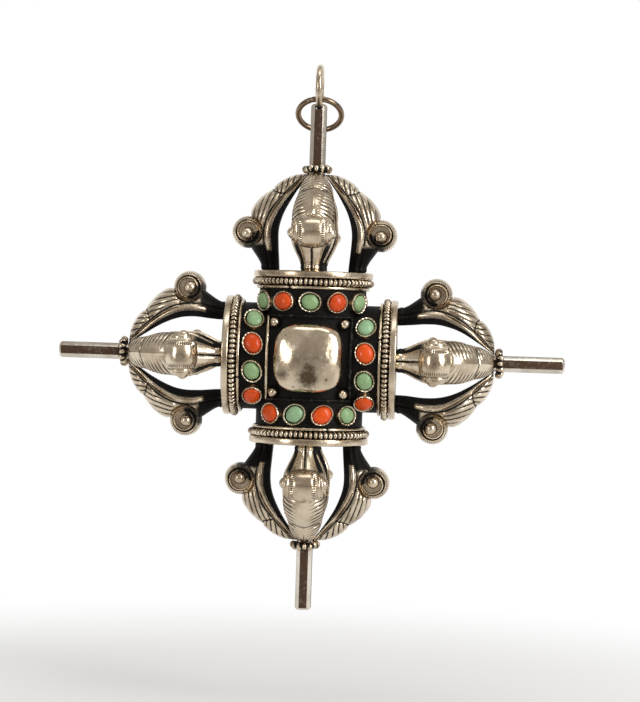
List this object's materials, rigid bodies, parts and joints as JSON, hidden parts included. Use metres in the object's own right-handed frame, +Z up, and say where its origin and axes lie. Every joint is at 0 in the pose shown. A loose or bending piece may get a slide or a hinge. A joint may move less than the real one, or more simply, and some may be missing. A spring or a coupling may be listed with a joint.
{
  "type": "amulet box pendant",
  "caption": "Crossed-vajra amulet box: a hollow silver hub with caged arms, set with coral and turquoise cabochons, hung from a loop and a loose ring.",
  "frame": {"origin": "where the axes of the four arms cross, at the middle of the box", "axes": "+Z up along the hanging arm, -Y the front face, +X to the right as seen from the front"},
  "size_m": [0.09, 0.0296, 0.0971],
  "materials": {
    "worn_silver": "worn antique",
    "polished_silver": "rubbed bright",
    "blackened_silver": "oxidised",
    "bronzed_silver": "tarnished",
    "coral": "polished",
    "turquoise": "polished"
  },
  "bodies": {
    "box": {"hub_shell": "blackened_silver", "hanging_loop": "worn_silver", "front_boss": "polished_silver", "front_frame_wire": "worn_silver", "front_granules": "worn_silver", "front_bezels": "worn_silver", "front_coral_stones": "coral", "front_turquoise_stones": "turquoise", "back_boss": "polished_silver", "back_frame_wire": "worn_silver", "back_granules": "worn_silver", "back_bezels": "worn_silver", "back_coral_stones": "coral", "back_turquoise_stones": "turquoise", "top_end_disc": "worn_silver", "top_rod": "worn_silver", "top_tip_collar": "worn_silver", "top_prong_right": "worn_silver", "top_prong_back": "worn_silver", "top_prong_left": "worn_silver", "top_prong_front": "worn_silver", "top_bead_wire": "worn_silver", "top_drum_wire": "worn_silver", "right_end_disc": "worn_silver", "right_rod": "worn_silver", "right_tip_collar": "worn_silver", "right_prong_lower": "worn_silver", "right_prong_back": "worn_silver", "right_prong_upper": "worn_silver", "right_prong_front": "worn_silver", "right_bead_wire": "worn_silver", "right_drum_wire": "worn_silver", "bottom_end_disc": "worn_silver", "bottom_rod": "worn_silver", "bottom_tip_collar": "worn_silver", "bottom_prong_left": "worn_silver", "bottom_prong_back": "worn_silver", "bottom_prong_right": "worn_silver", "bottom_prong_front": "worn_silver", "bottom_bead_wire": "worn_silver", "bottom_drum_wire": "worn_silver", "left_bead_wire": "worn_silver", "left_drum_wire": "worn_silver"},
    "left_arm": {"left_end_disc": "worn_silver", "left_rod": "worn_silver", "left_tip_collar": "worn_silver", "left_prong_upper": "worn_silver", "left_prong_back": "worn_silver", "left_prong_lower": "worn_silver", "left_prong_front": "worn_silver"},
    "loose_ring": {"jump_ring": "bronzed_silver"}
  },
  "joints": [
    {"name": "left_arm_pull", "type": "slide", "parent": "box", "child": "left_arm", "axis": [-1, 0, 0], "range_m": [0, 0.03]},
    {"name": "ring_swing", "type": "hinge", "parent": "box", "child": "loose_ring", "pos_m": [0, 0, 0.04602], "axis": [1, 0, 0], "range_deg": [-34, 294]}
  ]
}
